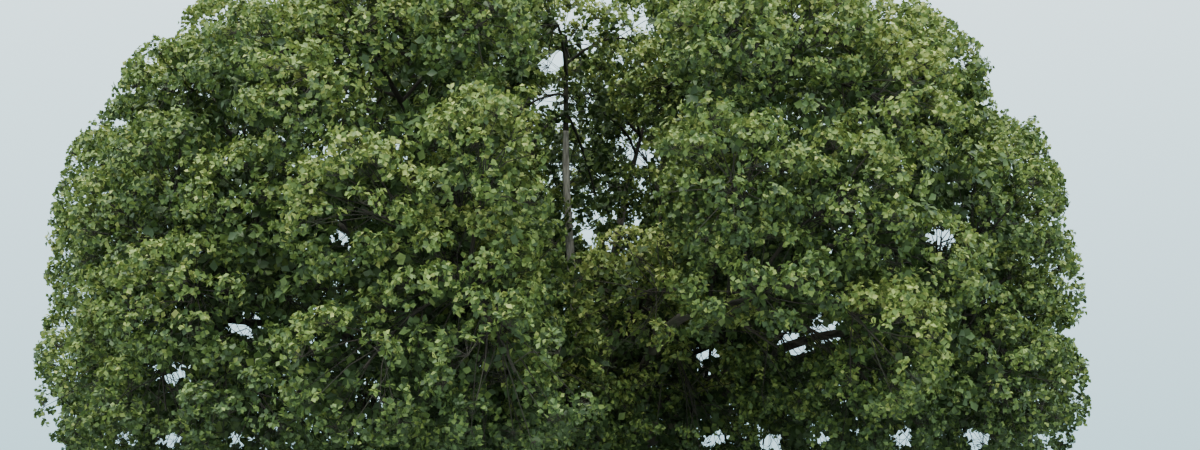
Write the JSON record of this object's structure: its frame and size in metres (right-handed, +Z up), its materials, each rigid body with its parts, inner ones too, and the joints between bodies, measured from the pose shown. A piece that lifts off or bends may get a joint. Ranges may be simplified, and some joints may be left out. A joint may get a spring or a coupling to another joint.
{
  "type": "oak tree",
  "caption": "Open-grown broadleaf tree: short flared trunk, spreading boughs and a broad domed crown of leafy masses with a cleft in its front.",
  "frame": {"origin": "middle of the flat cut under the trunk, at ground level", "axes": "+Z up the trunk, -Y towards the side with the cleft in the crown, +X to the right as seen from that side"},
  "size_m": [25.682, 25.8529, 15.1282],
  "materials": {
    "bark": "matte",
    "foliage": "matte"
  },
  "bodies": {
    "root": {"trunk": "bark", "bough_low_1": "bark", "bough_low_2": "bark", "bough_low_3": "bark", "bough_low_4": "bark", "bough_low_5": "bark", "bough_low_6": "bark", "bough_low_7": "bark", "bough_low_8": "bark", "bough_low_9": "bark", "bough_rising_1": "bark", "bough_rising_2": "bark", "bough_rising_3": "bark", "bough_rising_4": "bark", "bough_rising_5": "bark", "bough_rising_6": "bark", "bough_rising_7": "bark", "bough_rising_8": "bark", "bough_upright_1": "bark", "bough_upright_2": "bark", "bough_upright_3": "bark", "bough_upright_4": "bark", "bough_upright_5": "bark", "bough_upright_6": "bark", "bough_inner_1": "bark", "bough_inner_2": "bark", "bough_inner_3": "bark", "bough_inner_4": "bark", "leader_top": "bark", "foliage_low_1": "foliage", "foliage_low_2": "foliage", "foliage_low_3": "foliage", "foliage_low_4": "foliage", "foliage_low_5": "foliage", "foliage_low_6": "foliage", "foliage_low_7": "foliage", "foliage_low_8": "foliage", "foliage_low_9": "foliage", "foliage_rising_1": "foliage", "foliage_rising_2": "foliage", "foliage_rising_3": "foliage", "foliage_rising_4": "foliage", "foliage_rising_5": "foliage", "foliage_rising_6": "foliage", "foliage_rising_7": "foliage", "foliage_rising_8": "foliage", "foliage_upright_1": "foliage", "foliage_upright_2": "foliage", "foliage_upright_3": "foliage", "foliage_upright_4": "foliage", "foliage_upright_5": "foliage", "foliage_upright_6": "foliage", "foliage_inner_1": "foliage", "foliage_inner_2": "foliage", "foliage_inner_3": "foliage", "foliage_inner_4": "foliage", "foliage_top": "foliage"}
  },
  "joints": []
}
